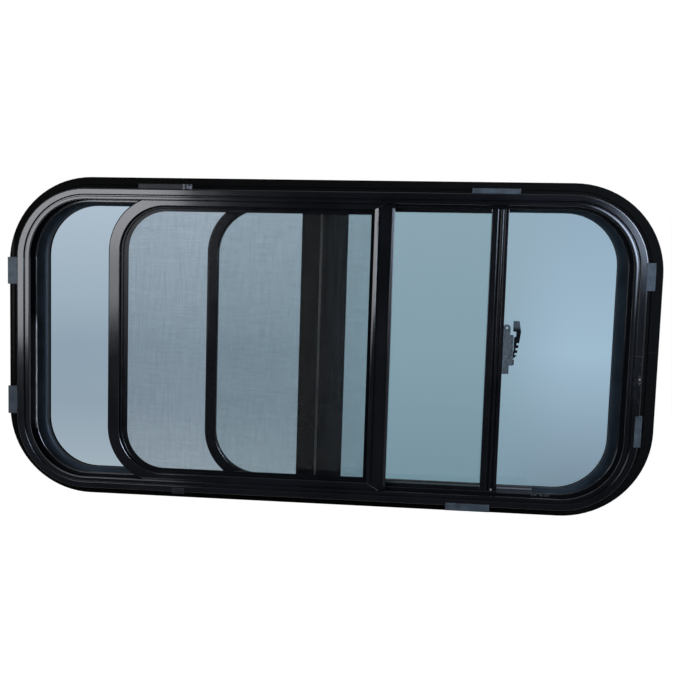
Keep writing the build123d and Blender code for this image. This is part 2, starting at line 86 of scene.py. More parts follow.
# The inner ridge's face: how far its outer and inner edges lie inside the flange's rim, at the jambs and at the
# rails, and the radius of the rim's corners, in millimetres
RIDGE_OUT = (41.5, 28.6)
RIDGE_IN = (47.0, 33.0)
RIM_CORNER = 120.0
# Its section: places from its outer edge at 0 to its inner edge at 1, and heights over the ridge in millimetres
RIDGE_SLOPE = ((0.1, -0.3), (0.12, 0.03), (0.8, 0.4), (0.93, 0.25), (1.02, -0.5), (1.02, -1.2))
RIDGE_STEPS = 32
# Edges that turn by more than this many degrees stay sharp
RIDGE_SHARP = 35.0

# Widths of the rounded edges in millimetres, and how the names of the pieces that have them start
ROUNDED = {
    0.35: ("tab_", "latch_", "rib_", "track_rib", "sash_glides", "screen_glides"),
    0.45: ("front_ring", "outer_flange"),
    0.5: ("sash_bow", "sash_stile", "screen_bow", "screen_stile", "screen_spline", "centre_post"),
}
ROUND_STEPS = 2
# Edges that turn by more than this many degrees are rounded
ROUND_ANGLE = 40.0
# Points of a solid's loose triangles that are this near are one, in millimetres
WELD = 0.01

# Studio, in metres
FLOOR_Z = -0.95
FLOOR_SIDE = 14.0
# The glow that brings the lit floor up to the white of the surround
FLOOR_LIFT = 0.75
# How brightly the surround lights the window, and how much of its white a gloss sees
SURROUND_LIGHT = 0.32
GLOSS_SHARE = 0.15
CARD_Y = 3.0
CARD_X = (-1.435, 0.965)
CARD_Z = (-0.815, 0.362)
CARD_CORNER = 0.27
CARD_STEPS = 12
# The card's colours from bottom to top at its left. Then, for each turn to others along X, where it starts,
# where it is done, and those colours
CARD_LEFT = ((0.05, "#a0b1bc"), (0.28, "#90a2b0"), (0.48, "#8fa2b1"), (0.63, "#9cafbd"), (0.95, "#adbecd"))
CARD_TURNS = (
    (-0.5, 0.1, ((0.05, "#86a1b0"), (0.5, "#98b0c0"), (0.95, "#a1b7c6"))),
    (0.35, 0.75, ((0.05, "#8295a6"), (0.5, "#aec7dc"), (0.95, "#a1b8cd"))),
)
FLAG_X = (-3.5, 1.9)
FLAG_Y = (-3.4, 0.4)
FLAG_Z = (-0.94, 2.0)
# The height from which the flags are at their darkest
FLAG_DARK_Z = 0.6
# Lamps that face the window squarely: place, width and height, power in watts and colour
LAMPS = {
    "key_left": ((-1.135, -1.63, 0.245), (0.63, 0.75), 15.1, "#f6f8ff"),
    "key_right": ((-0.6625, -1.63, 0.37), (0.315, 0.46), 4.9, "#f6f8ff"),
    "key_low": ((-0.6625, -1.63, 0.045), (0.315, 0.19), 1.2, "#f6f8ff"),
    "rim_right": ((0.9, -1.63, 0.38), (0.36, 0.5), 3.4, "#cbdcf6"),
}
# Panels on the right: their ends in plan, then the height where each begins, where its glow is full and where
# it stops, and its glow
PANEL_COLOUR = "#cbdcf6"
PANELS = {
    "near_panel": (((0.668, -1.66), (0.84, -1.66)), (0.09, 0.16, 0.9), 11.0),
    "middle_panel": (((0.84, -1.66), (1.08, -1.66)), (0.0, 0.2, 0.9), 36.0),
    "far_panel": (((1.38, -1.66), (2.4, -0.9)), (0.03, 0.3, 1.3), 48.0),
}

# Where most of a noise's values lie, and the narrower part of them that breaks a mark into patches
NOISE_SPAN = {"From Min": 0.3, "From Max": 0.7}
PATCH_SPAN = {"From Min": 0.45, "From Max": 0.62}
# A Mix node's sockets for two colours and their mixture
MIX_A, MIX_B, MIX_RESULT = 6, 7, 2

# Directions that limits on the finishes are measured along
ALONG, DEEP, UP = Vector((1.0, 0.0, 0.0)), Vector((0.0, 1.0, 0.0)), Vector((0.0, 0.0, 1.0))


def band(direction, middle, half, soft):
    """Two limits with a band between them, in millimetres. A limit is a direction and the places along it where
    a mark is nought and where it is full."""
    near, far = middle - half, middle + half
    return (direction, near - soft, near), (direction, far + soft, far)


# Marks: a hex code, the size of its patches in millimetres or None, and its limits

# The flange's rim has a painted highlight along its left, fading out below, and its joint shows on its right
RIM_MARKS = (
    ("#202123", None, (*band(ALONG, -445.0, 1.0, 1.0), (UP, -80.0, 30.0))),
    ("#2c2a28", None, (*band(UP, 2.9, 0.2, 0.4), (ALONG, 434.0, 437.0))),
)
# The front ring's joint shows on its right, with scuffs below it
RING_MARKS = (
    ("#34363a", None, (*band(UP, 1.5, 0.3, 0.5), (ALONG, 395.0, 397.0))),
    ("#1d2025", 7.0, (*band(UP, -34.0, 18.0, 10.0), (ALONG, 394.0, 398.0))),
    ("#9a9ca0", 3.0, (*band(UP, -30.0, 5.0, 2.0), *band(ALONG, 418.0, 0.9, 0.6))),
)
# The rib is scratched beside its clip
RIB_MARKS = (("#55585d", 3.0, (*band(UP, -190.5, 1.2, 0.6), *band(ALONG, 301.0, 11.0, 3.0))),)
# The grey glazing bead shows along the sash's bottom rail
SASH_MARKS = (("#485356", None, (*band(UP, -183.0, 0.8, 0.6), *band(ALONG, 88.0, 136.0, 4.0))),)
# Two near-black lines up the sash's stile, painted shade in its grooves, and a chip at its foot
STILE_MARKS = (
    ("#010102", None, band(ALONG, 232.6, 0.6, 0.5)),
    ("#010102", None, band(ALONG, 238.1, 0.6, 0.5)),
    ("#c9c8c2", None, (*band(UP, -187.4, 0.8, 0.5), *band(ALONG, 237.0, 0.9, 0.5))),
)
# The painted highlight along a mitre of the screen: half its width and its soft edge, in millimetres
MITRE_LINE = (0.2, 0.4)
# A painted highlight on the right end of the upper left tab, where its curled end catches the light
HOOK_MARKS = (("#737b84", 2.5, band(ALONG, -183.5, 5.5, 1.0)),)

# The stretch of the rib's left edge that gets a painted highlight, for light from low on the right, and where
# its face turns so that the painted highlight is only faint
HIGHLIGHT_LIMITS = ((ALONG, -391.0, -391.5), (DEEP, -32.5, -33.5), (UP, -130.0, -118.0), (UP, 35.0, 15.0))
HIGHLIGHT_TURN = (-399.6, -400.6)
HIGHLIGHT_FAINT = 0.05
# The lever's thumb tab is paler above this height
THUMB_LIMITS = ((UP, 30.0, 34.0),)
# The pale lip of the rib's clip, as shares of its height: where it starts, is full, is full still and stops.
# The black just under it is painted shade
CLIP_LIP = (0.6, 0.62, 0.76, 0.8)
# How far the painted highlight along an edge reaches in from it, in millimetres, and the likeness of normals
# where it starts and is full
EDGE_HIGHLIGHT = 1.3
EDGE_SPAN = {"From Min": 0.97, "From Max": 0.8}


def srgb(code):
    """Linear colour of an sRGB hex code."""
    parts = [int(code[i:i + 2], 16) / 255 for i in (1, 3, 5)]
    return (*[c / 12.92 if c <= 0.04045 else ((c + 0.055) / 1.055) ** 2.4 for c in parts], 1.0)


def grain(size):
    """Scale of a texture on Object coordinates whose features are this many millimetres wide."""
    return 1.0 / (size * MM)


def wire(tree, node, inputs):
    """Sets a node's inputs, or links them to another node's first output or to a socket."""
    for socket, value in inputs.items():
        if isinstance(value, bpy.types.Node):
            value = value.outputs[0]
        if isinstance(value, bpy.types.NodeSocket):
            tree.links.new(value, node.inputs[socket])
        else:
            node.inputs[socket].default_value = value


def add(tree, kind, inputs=None, stops=(), **settings):
    """Adds a node with its settings, its inputs and, where it is a colour ramp, its stops of (place, hex
    code)."""
    made = tree.nodes.new("ShaderNode" + kind)
    for name, value in settings.items():
        setattr(made, name, value)
    for i, (place, code) in enumerate(stops):
        elements = made.color_ramp.elements
        stop = elements[i] if i < len(elements) else elements.new(1.0)
        stop.position, stop.color = place, srgb(code)
    wire(tree, made, inputs or {})
    return made


def surface(name, **values):
    """Starts a material: its node tree and its shader, with the sockets that are the same all over."""
    material = bpy.data.materials.new(name)
    material.use_nodes = True
    shader = material.node_tree.nodes["Principled BSDF"]
    for socket, value in values.items():
        shader.inputs[socket.replace("_", " ")].default_value = value
    return material, material.node_tree, shader


def within(tree, place, limits):
    """One inside all the limits and nought outside any of them."""
    share = 1.0
    for direction, start, stop in limits:
        along = add(tree, "VectorMath", {0: place, 1: direction}, operation="DOT_PRODUCT").outputs["Value"]
        inside = add(tree, "MapRange", {"Value": along, "From Min": start * MM, "From Max": stop * MM})
        share = add(tree, "Math", {0: share, 1: inside}, operation="MULTIPLY")
    return share


def marked(tree, place, colour, marks):
    """Lays marks over a colour."""
    for code, size, limits in marks:
        share = within(tree, place, limits)
        if size:
            mottle = add(tree, "TexNoise", {"Vector": place, "Scale": grain(size), "Detail": 3.0})
            patches = add(tree, "MapRange", {"Value": mottle, **PATCH_SPAN})
            share = add(tree, "Math", {0: share, 1: patches}, operation="MULTIPLY")
        mixed = add(tree, "Mix", {"Factor": share, MIX_A: colour, MIX_B: srgb(code)}, data_type="RGBA")
        colour = mixed.outputs[MIX_RESULT]
    return colour


def black_powder_coat(name="black_powder_coat", marks=()):
    """Powder coat on aluminium: smooth black that mirrors the lamps softly, with faint orange peel."""
    material, tree, shader = surface(name, IOR=1.5, Specular_IOR_Level=0.35)
    place = add(tree, "TexCoord").outputs["Object"]
    film = add(tree, "TexNoise", {"Vector": place, "Scale": grain(70.0), "Detail": 3.0})
    colour = add(tree, "ValToRGB", {"Fac": film}, ((0.35, "#0d0f13"), (0.7, "#15171c")))
    rough = add(tree, "MapRange", {"Value": film, **NOISE_SPAN, "To Min": 0.11, "To Max": 0.15})
    # Orange peel is about 0.5 mm wide, drawn twice as coarse so that it shows
    peel = add(tree, "TexNoise", {"Vector": place, "Scale": grain(1.0), "Detail": 1.0})
    bump = add(tree, "Bump", {"Height": peel, "Strength": 0.05, "Distance": 0.02 * MM})
    colour = marked(tree, place, colour, marks)
    wire(tree, shader, {"Base Color": colour, "Roughness": rough, "Normal": bump})
    return material


def mitre_highlights():
    """A painted highlight along the joints at the screen's right corners."""
    inner_low, inner_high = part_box("screen_mesh")
    outer_low, outer_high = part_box("screen_stile")
    start = inner_high.x / MM
    marks = []
    for inner, outer in ((inner_low.z, outer_low.z), (inner_high.z, outer_high.z)):
        line = Vector((outer_high.x - inner_high.x, 0.0, outer - inner)).normalized()
        across = Vector((-line.z, 0.0, line.x))
        middle = across.dot(Vector((inner_high.x, 0.0, inner))) / MM
        marks.append(("#383b3f", None, (*band(across, middle, *MITRE_LINE), (ALONG, start - 1.0, start))))
    return marks


def painted_highlight_coat():
    """The same coat on the rib, with a painted highlight along a stretch of its left edge, for light from low
    on the right.
    """
    material, tree, shader = surface("painted_highlight_coat", IOR=1.5, Specular_IOR_Level=0.35)
    place = add(tree, "TexCoord").outputs["Object"]
    # The painted highlight is full along the left edge, faint where its face turns, and broken into patches
    turn = {"From Min": HIGHLIGHT_TURN[0] * MM, "From Max": HIGHLIGHT_TURN[1] * MM, "To Min": 1.0, "To Max": HIGHLIGHT_FAINT}
    across = add(tree, "SeparateXYZ", {"Vector": place}).outputs["X"]
    faint = add(tree, "MapRange", {"Value": across, **turn})
    paler_share = add(tree, "Math", {0: faint, 1: within(tree, place, HIGHLIGHT_LIMITS)}, operation="MULTIPLY")
    breakup = add(tree, "TexNoise", {"Vector": place, "Scale": grain(9.0), "Detail": 3.0})
    patchy = add(tree, "MapRange", {"Value": breakup, **NOISE_SPAN, "To Min": 0.65, "To Max": 1.0})
    paler_share = add(tree, "Math", {0: paler_share, 1: patchy}, operation="MULTIPLY")
    colour = add(tree, "ValToRGB", {"Fac": paler_share}, ((0.0, "#101216"), (1.0, "#a6a8ad")))
    rough = add(tree, "MapRange", {"Value": paler_share, "To Min": 0.13, "To Max": 0.4})
    wire(tree, shader, {"Base Color": marked(tree, place, colour, RIB_MARKS), "Roughness": rough})
    return material


def black_textured_coat():
    """Textured powder coat: matt black with a fine sandy grain that swallows the lamps."""
    material, tree, shader = surface("black_textured_coat", IOR=1.5, Specular_IOR_Level=0.02)
    place = add(tree, "TexCoord").outputs["Object"]
    # The grit is a few tenths of a millimetre wide, drawn coarser so that it shows
    sand = add(tree, "TexNoise", {"Vector": place, "Scale": grain(1.6), "Detail": 4.0})
    colour = add(tree, "ValToRGB", {"Fac": sand}, ((0.3, "#020202"), (0.6, "#060605"), (0.8, "#15110c")))
    rough = add(tree, "MapRange", {"Value": sand, **NOISE_SPAN, "To Min": 0.5, "To Max": 0.65})
    bump = add(tree, "Bump", {"Height": sand, "Strength": 0.3, "Distance": 0.12 * MM})
    colour = marked(tree, place, colour, RIM_MARKS)
    wire(tree, shader, {"Base Color": colour, "Roughness": rough, "Normal": bump})
    return material


def streaked_coat():
    """Matt black coat on the post, streaked up and down: brownish on its left and bluish on its right."""
    material, tree, shader = surface("streaked_coat", IOR=1.5, Specular_IOR_Level=0.0, Roughness=0.6)
    place = add(tree, "TexCoord").outputs["Object"]
    # Streaks are 2.5 mm wide and over thirty times as long
    drawn = add(tree, "Mapping", {"Vector": place, "Scale": (1.0, 1.0, 0.03)})
    streak = add(tree, "TexNoise", {"Vector": drawn, "Scale": grain(2.5)})
    dark = add(tree, "MapRange", {"Value": streak, **NOISE_SPAN, "To Min": 0.0, "To Max": 0.9})
    low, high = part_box("centre_post")
    across = add(tree, "SeparateXYZ", {"Vector": place}).outputs["X"]
    side = add(tree, "MapRange", {"Value": across, "From Min": low.x, "From Max": high.x})
    tints = ((0.0, "#26211c"), (0.4, "#1b191c"), (0.75, "#20262c"), (1.0, "#2a333c"))
    tint = add(tree, "ValToRGB", {"Fac": side}, tints)
    mixed = add(tree, "Mix", {"Factor": dark, MIX_A: tint, MIX_B: srgb("#030304")}, data_type="RGBA")
    wire(tree, shader, {"Base Color": mixed.outputs[MIX_RESULT]})
    return material


def black_rubber():
    """Extruded EPDM: matt black that turns greyish where it is dusty."""
    material, tree, shader = surface("black_rubber", IOR=1.5, Specular_IOR_Level=0.1)
    place = add(tree, "TexCoord").outputs["Object"]
    bloom = add(tree, "TexNoise", {"Vector": place, "Scale": grain(25.0), "Detail": 3.0})
    colour = add(tree, "ValToRGB", {"Fac": bloom}, ((0.3, "#1a242d"), (0.75, "#26323d")))
    rough = add(tree, "MapRange", {"Value": bloom, **NOISE_SPAN, "To Min": 0.5, "To Max": 0.62})
    skin = add(tree, "TexNoise", {"Vector": place, "Scale": grain(0.8), "Detail": 3.0})
    bump = add(tree, "Bump", {"Height": skin, "Strength": 0.1, "Distance": 0.05 * MM})
    wire(tree, shader, {"Base Color": colour, "Roughness": rough, "Normal": bump})
    return material


def tinted_glass():
    """Toughened float glass with a light blue-green body tint, clear and flat."""
    tint = srgb("#eef5f5")
    return surface("tinted_glass", Base_Color=tint, Transmission_Weight=1.0, IOR=1.5, Roughness=0.0)[0]


def grey_pile():
    """Siliconised wool pile: soft grey fibres that scatter light."""
    material, tree, shader = surface("grey_pile", Roughness=0.95, Sheen_Weight=0.4)
    place = add(tree, "TexCoord").outputs["Object"]
    fibre = add(tree, "TexNoise", {"Vector": place, "Scale": grain(0.7), "Detail": 3.0})
    colour = add(tree, "ValToRGB", {"Fac": fibre}, ((0.3, "#3c3d3d"), (0.7, "#747472")))
    wire(tree, shader, {"Base Color": colour})
    return material


def black_nylon():
    """Glass-filled nylon, moulded: dull black, paler grey on the thumb tab."""
    material, tree, shader = surface("black_nylon", IOR=1.53, Specular_IOR_Level=0.03)
    place = add(tree, "TexCoord").outputs["Object"]
    paler_share = within(tree, place, THUMB_LIMITS)
    colour = add(tree, "ValToRGB", {"Fac": paler_share}, ((0.0, "#030507"), (1.0, "#4a5460")))
    flow = add(tree, "TexNoise", {"Vector": place, "Scale": grain(6.0), "Detail": 3.0})
    rough = add(tree, "MapRange", {"Value": flow, **NOISE_SPAN, "To Min": 0.42, "To Max": 0.55})
    skin = add(tree, "TexNoise", {"Vector": place, "Scale": grain(0.5), "Detail": 3.0})
    bump = add(tree, "Bump", {"Height": skin, "Strength": 0.2, "Distance": 0.06 * MM})
    wire(tree, shader, {"Base Color": colour, "Roughness": rough, "Normal": bump})
    return material


def grey_polypropylene(name, dark, middle, pale, marks=()):
    """Moulded polypropylene: waxy slate grey, with a painted highlight that makes it paler along its edges."""
    material, tree, shader = surface(name, IOR=1.49, Specular_IOR_Level=0.15)
    place = add(tree, "TexCoord").outputs["Object"]
    tone_and_highlight_noise = add(tree, "TexNoise", {"Vector": place, "Scale": grain(14.0), "Detail": 3.0})
    cloud = add(tree, "MapRange", {"Value": tone_and_highlight_noise, **NOISE_SPAN, "To Min": 0.0, "To Max": 0.5})
    # An edge is where the face and the face as if it were rounded point different ways
    face = add(tree, "NewGeometry").outputs["True Normal"]
    turned = add(tree, "Bevel", {"Radius": EDGE_HIGHLIGHT * MM}, samples=6)
    alike = add(tree, "VectorMath", {0: face, 1: turned}, operation="DOT_PRODUCT").outputs["Value"]
    edge = add(tree, "MapRange", {"Value": alike, **EDGE_SPAN})
    # A painted highlight along the edges, broken into patches by the noise
    edge_highlight = add(tree, "Math", {0: edge, 1: tone_and_highlight_noise}, operation="MULTIPLY")
    shade = add(tree, "Math", {0: cloud, 1: edge_highlight}, operation="ADD")
    colour = add(tree, "ValToRGB", {"Fac": shade}, ((0.0, dark), (0.5, middle), (1.0, pale)))
    rough = add(tree, "MapRange", {"Value": tone_and_highlight_noise, **NOISE_SPAN, "To Min": 0.38, "To Max": 0.5})
    bump = add(tree, "Bump", {"Height": tone_and_highlight_noise, "Strength": 0.1, "Distance": 0.1 * MM})
    colour = marked(tree, place, colour, marks)
    wire(tree, shader, {"Base Color": colour, "Roughness": rough, "Normal": bump})
    return material


def banded_polypropylene():
    """The same plastic on the rib's clip, black but for the pale lip along the middle of its face; the black
    just under the lip is painted shade.
    """
    material, tree, shader = surface(
        "banded_polypropylene", IOR=1.49, Roughness=0.45, Specular_IOR_Level=0.3,
    )
    place = add(tree, "TexCoord").outputs["Object"]
    up = add(tree, "SeparateXYZ", {"Vector": place}).outputs["Z"]
    low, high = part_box("rib_buffer")
    height = add(tree, "MapRange", {"Value": up, "From Min": low.z, "From Max": high.z})
    black, pale = "#0a0c10", "#5d626c"
    bands = zip((0.0, *CLIP_LIP), (black, black, pale, pale, black))
    wire(tree, shader, {"Base Color": add(tree, "ValToRGB", {"Fac": height}, bands)})
    return material


def black_vinyl():
    """Extruded soft vinyl: black with a dull wet gloss."""
    material, tree, shader = surface("black_vinyl", IOR=1.53, Specular_IOR_Level=0.08)
    place = add(tree, "TexCoord").outputs["Object"]
    film = add(tree, "TexNoise", {"Vector": place, "Scale": grain(20.0), "Detail": 3.0})
    colour = add(tree, "ValToRGB", {"Fac": film}, ((0.3, "#07090c"), (0.7, "#0d1014")))
    rough = add(tree, "MapRange", {"Value": film, **NOISE_SPAN, "To Min": 0.2, "To Max": 0.26})
    wire(tree, shader, {"Base Color": colour, "Roughness": rough})
    return material


def natural_nylon():
    """Natural nylon: milky off-white with a soft gloss."""
    depth = Vector((2.0, 1.8, 1.5)) * MM
    material, tree, shader = surface(
        "natural_nylon", IOR=1.53, Subsurface_Weight=0.2, Subsurface_Radius=depth,
    )
    place = add(tree, "TexCoord").outputs["Object"]
    rub = add(tree, "TexNoise", {"Vector": place, "Scale": grain(3.0), "Detail": 3.0})
    colour = add(tree, "ValToRGB", {"Fac": rub}, ((0.3, "#b9b8b2"), (0.7, "#cfcec8")))
    rough = add(tree, "MapRange", {"Value": rub, **NOISE_SPAN, "To Min": 0.35, "To Max": 0.5})
    wire(tree, shader, {"Base Color": colour, "Roughness": rough})
    return material


def grey_zinc():
    """Painted zinc die casting: dull blue-grey with a slightly pebbled skin."""
    material, tree, shader = surface("grey_zinc", IOR=1.5, Metallic=0.25)
    place = add(tree, "TexCoord").outputs["Object"]
    paint = add(tree, "TexNoise", {"Vector": place, "Scale": grain(4.0), "Detail": 3.0})
    colour = add(tree, "ValToRGB", {"Fac": paint}, ((0.3, "#1a2124"), (0.7, "#2f3a3f")))
    rough = add(tree, "MapRange", {"Value": paint, **NOISE_SPAN, "To Min": 0.4, "To Max": 0.52})
    pebble = add(tree, "TexNoise", {"Vector": place, "Scale": grain(0.8), "Detail": 3.0})
    bump = add(tree, "Bump", {"Height": pebble, "Strength": 0.2, "Distance": 0.08 * MM})
    wire(tree, shader, {"Base Color": colour, "Roughness": rough, "Normal": bump})
    return material


def mesh_fibre():
    """PVC-coated glass fibre: charcoal strands with a faint sheen."""
    material, tree, shader = surface("mesh_fibre", IOR=1.5, Roughness=0.7, Specular_IOR_Level=0.05)
    place = add(tree, "TexCoord").outputs["Object"]
    age = add(tree, "TexNoise", {"Vector": place, "Scale": grain(40.0), "Detail": 3.0})
    colour = add(tree, "ValToRGB", {"Fac": age}, ((0.3, "#121416"), (0.7, "#1b1f22")))
    wire(tree, shader, {"Base Color": colour})
    return material


def dress(node, finish):
    """Gives a solid its finish."""
    for material_slot in nodes[node].material_slots:
        material_slot.material = finish


def in_scene(name, shape, material):
    """Puts a shape into the scene as an object."""
    mesh = bpy.data.meshes.new(name)
    shape.to_mesh(mesh)
    shape.free()
    mesh.materials.append(material)
    made = bpy.data.objects.new(name, mesh)
    bpy.context.scene.collection.objects.link(made)
    return made


def new_piece(name, shape, finish, body, replaced=None):
    """Makes a mesh piece that rides on a body and may stand for a solid."""
    bmesh.ops.recalc_face_normals(shape, faces=shape.faces)
    piece = in_scene(name, shape, finish)
    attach(piece, body)
    if replaced:
        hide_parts(replaced)
    return piece


def bar(shape, low, high):
    """Adds a straight bar between two corners."""
    middle = Matrix.Translation((Vector(low) + Vector(high)) / 2)
    size = Matrix.Diagonal((*(Vector(high) - Vector(low)), 1.0))
    bmesh.ops.create_cube(shape, size=1.0, matrix=middle @ size)


def corner_inset(distance):
    """How far a rounded corner of the mesh draws a strand in, this far from the edge."""
    radius = MESH_CORNER * MM
    if distance >= radius:
        return 0.0
    return radius - math.sqrt(radius ** 2 - (radius - distance) ** 2)


def insect_mesh(finish):
    """Upright and level strands of uneven width, fused where they cross, cut to the rounded corners."""
    low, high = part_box("screen_mesh")
    pitch, half, deep = STRAND_PITCH * MM, STRAND_W * MM / 2, STRAND_DEEP * MM
    middle = (low.y + high.y) / 2
    draw = random.Random(STRAND_SEED)
    shape = bmesh.new()
    for across, along in ((0, 2), (2, 0)):
        done = set(shape.verts)
        for i in range(int((high[across] - low[across]) / pitch)):
            place = (i + 0.5) * pitch
            # Only the left corners are rounded, so level strands are drawn in at their left ends alone
            inset = corner_inset(place if across == 0 else min(place, high.z - low.z - place))
            near, far = Vector((0.0, middle - deep, 0.0)), Vector((0.0, middle, 0.0))
            near[across], far[across] = low[across] + place - half, low[across] + place + half
            near[along], far[along] = low[along] + inset, high[along] - (inset if across == 0 else 0.0)
            bar(shape, near, far)
        lengths = [
            edge for edge in shape.edges if edge.calc_length() > pitch and edge.verts[0] not in done
        ]
        bmesh.ops.subdivide_edges(shape, edges=lengths, cuts=STRAND_CUTS)
        for vert in shape.verts:
            if vert not in done:
                strand = math.floor((vert.co[across] - low[across]) / pitch)
                place = (strand + 0.5) * pitch + low[across]
                vert.co[across] += (vert.co[across] - place) * draw.uniform(-STRAND_UNEVEN, STRAND_UNEVEN)
    piece = new_piece("insect_mesh", shape, finish, "screen", "screen_mesh")


def weather_pile(finish):
    """A woven backing with rows of tapered tufts."""
    low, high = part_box("pile_strip")
    face = high.y - (high.y - low.y) * PILE_BACKING
    shape = bmesh.new()
    bar(shape, (low.x, face, low.z), (high.x, high.y, high.z))
    count = int((high.z - low.z) / (TUFT_PITCH * MM))
    tall = face - low.y
    foot, tip = (TUFT_R * MM * share for share in TUFT_TAPER)
    lie = Matrix.Rotation(math.radians(90.0), 4, "X")
    for row in range(TUFT_ROWS):
        x = low.x + (row + 0.5) * (high.x - low.x) / TUFT_ROWS
        for i in range(count):
            z = low.z + (i + 0.5 + TUFT_STAGGER * (row % 2)) * TUFT_PITCH * MM
            place = Matrix.Translation((x, face - tall / 2, min(z, high.z - TUFT_R * MM)))
            bmesh.ops.create_cone(
                shape, cap_ends=True, segments=TUFT_SIDES, radius1=foot, radius2=tip, depth=tall,
                matrix=place @ lie,
            )
    new_piece("weather_pile", shape, finish, "frame", "pile_strip")


def rounded_loop(shape, low_x, high_x, low_z, high_z, radius, y, steps):
    """Adds the edges of an upright rectangle, with so many steps round each corner."""
    done = set(shape.edges)
    places = ((low_x, low_z), (high_x, low_z), (high_x, high_z), (low_x, high_z))
    corners = [shape.verts.new((x, y, z)) for x, z in places]
    for i, corner in enumerate(corners):
        shape.edges.new((corners[i - 1], corner))
    bmesh.ops.bevel(
        shape, geom=corners, offset=radius, affect="VERTICES", segments=steps, profile=0.5, material=-1,
    )
    return [edge for edge in shape.edges if edge not in done]


def ridge_face(finish):
    """The inner ridge's face, which slopes a little outwards: loops round the frame, bridged in turn."""
    low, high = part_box("outer_flange")
    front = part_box("front_ring")[0].y
    shape = bmesh.new()
    loops = []
    for across, height in RIDGE_SLOPE:
        jamb, rail = ((a + across * (b - a)) * MM for a, b in zip(RIDGE_OUT, RIDGE_IN))
        corner = RIM_CORNER * MM - (jamb + rail) / 2
        outline = low.x + jamb, high.x - jamb, low.z + rail, high.z - rail
        loops.append(rounded_loop(shape, *outline, corner, front - height * MM, RIDGE_STEPS))
    for i, loop in enumerate(loops):
        bmesh.ops.bridge_loops(shape, edges=loops[i - 1] + loop)
    for face in shape.faces:
        face.smooth = True
    piece = new_piece("ridge_face", shape, finish, "frame")
    piece.data.set_sharp_from_angle(angle=math.radians(RIDGE_SHARP))


def soften(node, width):
    """Rounds a solid's hard edges."""
    piece = nodes[node]
    weld = piece.modifiers.new("weld", "WELD")
    weld.merge_threshold = WELD * MM
    edges = piece.modifiers.new("edges", "BEVEL")
    edges.width = width * MM
    edges.segments = ROUND_STEPS
    edges.limit_method = "ANGLE"
    edges.angle_limit = math.radians(ROUND_ANGLE)
    edges.use_clamp_overlap = True
    edges.harden_normals = True


def stage_sheet(name, corners, material):
    """A flat sheet of the studio."""
    shape = bmesh.new()
    shape.faces.new([shape.verts.new(corner) for corner in corners])
    sheet = in_scene(name, shape, material)
    return sheet


def rectangle(axis, at, low, high):
    """Corners of a rectangle square to an axis, between two corners given without that axis."""
    (a, b), (c, d) = low, high
    corners = []
    for point in ((a, b), (c, b), (c, d), (a, d)):
        full = list(point)
        full.insert("XYZ".index(axis), at)
        corners.append(full)
    return corners


def seen_rays(tree):
    """One for rays from the camera or straight through glass, and less for those in a gloss, which see a studio
    that isn't white all round."""
    path = add(tree, "LightPath")
    # What a pane's far face mirrors lies on the flags' side, so it doesn't count as straight through
    through = {0: path.outputs["Is Transmission Ray"], 1: path.outputs["Glossy Depth"]}
    through = add(tree, "Math", through, operation="GREATER_THAN")
    gloss = add(tree, "Math", {0: path.outputs["Is Glossy Ray"], 1: GLOSS_SHARE}, operation="MULTIPLY")
    shown = add(tree, "Math", {0: through, 1: gloss}, operation="MAXIMUM")
    return add(tree, "Math", {0: shown, 1: path.outputs["Is Camera Ray"]}, operation="MAXIMUM")


def bare_material(name):
    """A material with an empty node tree."""
    material = bpy.data.materials.new(name)
    material.use_nodes = True
    material.node_tree.nodes.clear()
    return material, material.node_tree


def glowing(name):
    """A material that only glows, and its node tree and emission node."""
    material, tree = bare_material(name)
    glow = add(tree, "Emission")
    add(tree, "OutputMaterial", {"Surface": glow})
    return material, tree, glow


def studio_floor():
    """A pale floor that shows white and keeps the window's shadow."""
    material, tree = bare_material("pale_floor")
    matt = add(tree, "BsdfDiffuse", {"Color": srgb("#e8e8e8")})
    strength = add(tree, "MapRange", {"Value": seen_rays(tree), "To Max": FLOOR_LIFT})
    lift = add(tree, "Emission", {"Color": srgb("#ffffff"), "Strength": strength})
    add(tree, "OutputMaterial", {"Surface": add(tree, "AddShader", {0: matt, 1: lift})})
    half = FLOOR_SIDE / 2
    stage_sheet("studio_floor", rectangle("Z", FLOOR_Z, (-half, -half), (half, half)), material)


def backdrop_card():
    """The blue-grey card behind the window, lighter at its top and towards its right."""
    material, tree, glow = glowing("blue_grey_card")
    place = add(tree, "TexCoord").outputs["Object"]
    split = add(tree, "SeparateXYZ", {"Vector": place})
    up = {"Value": split.outputs["Z"], "From Min": CARD_Z[0], "From Max": CARD_Z[1]}
    height = add(tree, "MapRange", up)
    shade = add(tree, "ValToRGB", {"Fac": height}, CARD_LEFT)
    for start, stop, colours in CARD_TURNS:
        along = {"Value": split.outputs["X"], "From Min": start, "From Max": stop}
        across = add(tree, "MapRange", along, interpolation_type="SMOOTHSTEP")
        turned = add(tree, "ValToRGB", {"Fac": height}, colours)
        mixed = add(tree, "Mix", {"Factor": across, MIX_A: shade, MIX_B: turned}, data_type="RGBA")
        shade = mixed.outputs[MIX_RESULT]
    wire(tree, glow, {"Color": shade})
    shape = bmesh.new()
    edges = rounded_loop(shape, *CARD_X, *CARD_Z, CARD_CORNER, CARD_Y, CARD_STEPS)
    bmesh.ops.contextual_create(shape, geom=edges)
    card = in_scene("backdrop_card", shape, material)
    card.visible_diffuse = False
    card.visible_shadow = False


def gloss_sheet(name, corners, material):
    """A sheet of the studio that shows only in reflections."""
    sheet = stage_sheet(name, corners, material)
    sheet.visible_camera = False
    sheet.visible_diffuse = False
    sheet.visible_transmission = False
    sheet.visible_shadow = False


